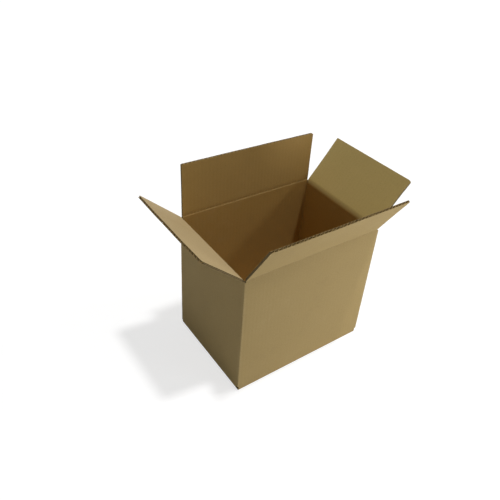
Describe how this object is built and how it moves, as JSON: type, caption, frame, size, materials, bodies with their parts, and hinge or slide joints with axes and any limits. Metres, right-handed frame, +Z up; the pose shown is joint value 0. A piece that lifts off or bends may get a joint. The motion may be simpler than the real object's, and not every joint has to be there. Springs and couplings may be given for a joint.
{
  "type": "bottle shipping box",
  "caption": "Open corrugated shipping box for bottles, folded from one slotted sheet, with hinged top flaps and a glued base.",
  "frame": {"origin": "middle of the base, on the plane that the carton stands on", "axes": "+X along the long walls to the right, +Y from the front wall to the back wall, +Z up"},
  "size_m": [0.4546, 0.2734, 0.3793],
  "materials": {
    "kraft_walls": "uncoated brown kraft, matt",
    "kraft_flaps": "uncoated brown kraft, matt"
  },
  "bodies": {
    "carton": {"carton_body": "kraft_walls"},
    "front": {"flap_front": "kraft_flaps"},
    "back": {"flap_back": "kraft_flaps"},
    "left": {"flap_left": "kraft_flaps"},
    "right": {"flap_right": "kraft_flaps"}
  },
  "joints": [
    {"name": "fold_front", "type": "hinge", "parent": "carton", "child": "front", "pos_m": [0, -0.108, 0.2715], "axis": [-1, 0, 0], "range_deg": [-144, 121]},
    {"name": "fold_back", "type": "hinge", "parent": "carton", "child": "back", "pos_m": [0, 0.108, 0.2715], "axis": [1, 0, 0], "range_deg": [-174, 91]},
    {"name": "fold_left", "type": "hinge", "parent": "carton", "child": "left", "pos_m": [-0.1525, 0, 0.2672], "axis": [0, 1, 0], "range_deg": [-126.6, 138.4]},
    {"name": "fold_right", "type": "hinge", "parent": "carton", "child": "right", "pos_m": [0.1525, 0, 0.2672], "axis": [0, -1, 0], "range_deg": [-135.2, 129.8]}
  ]
}
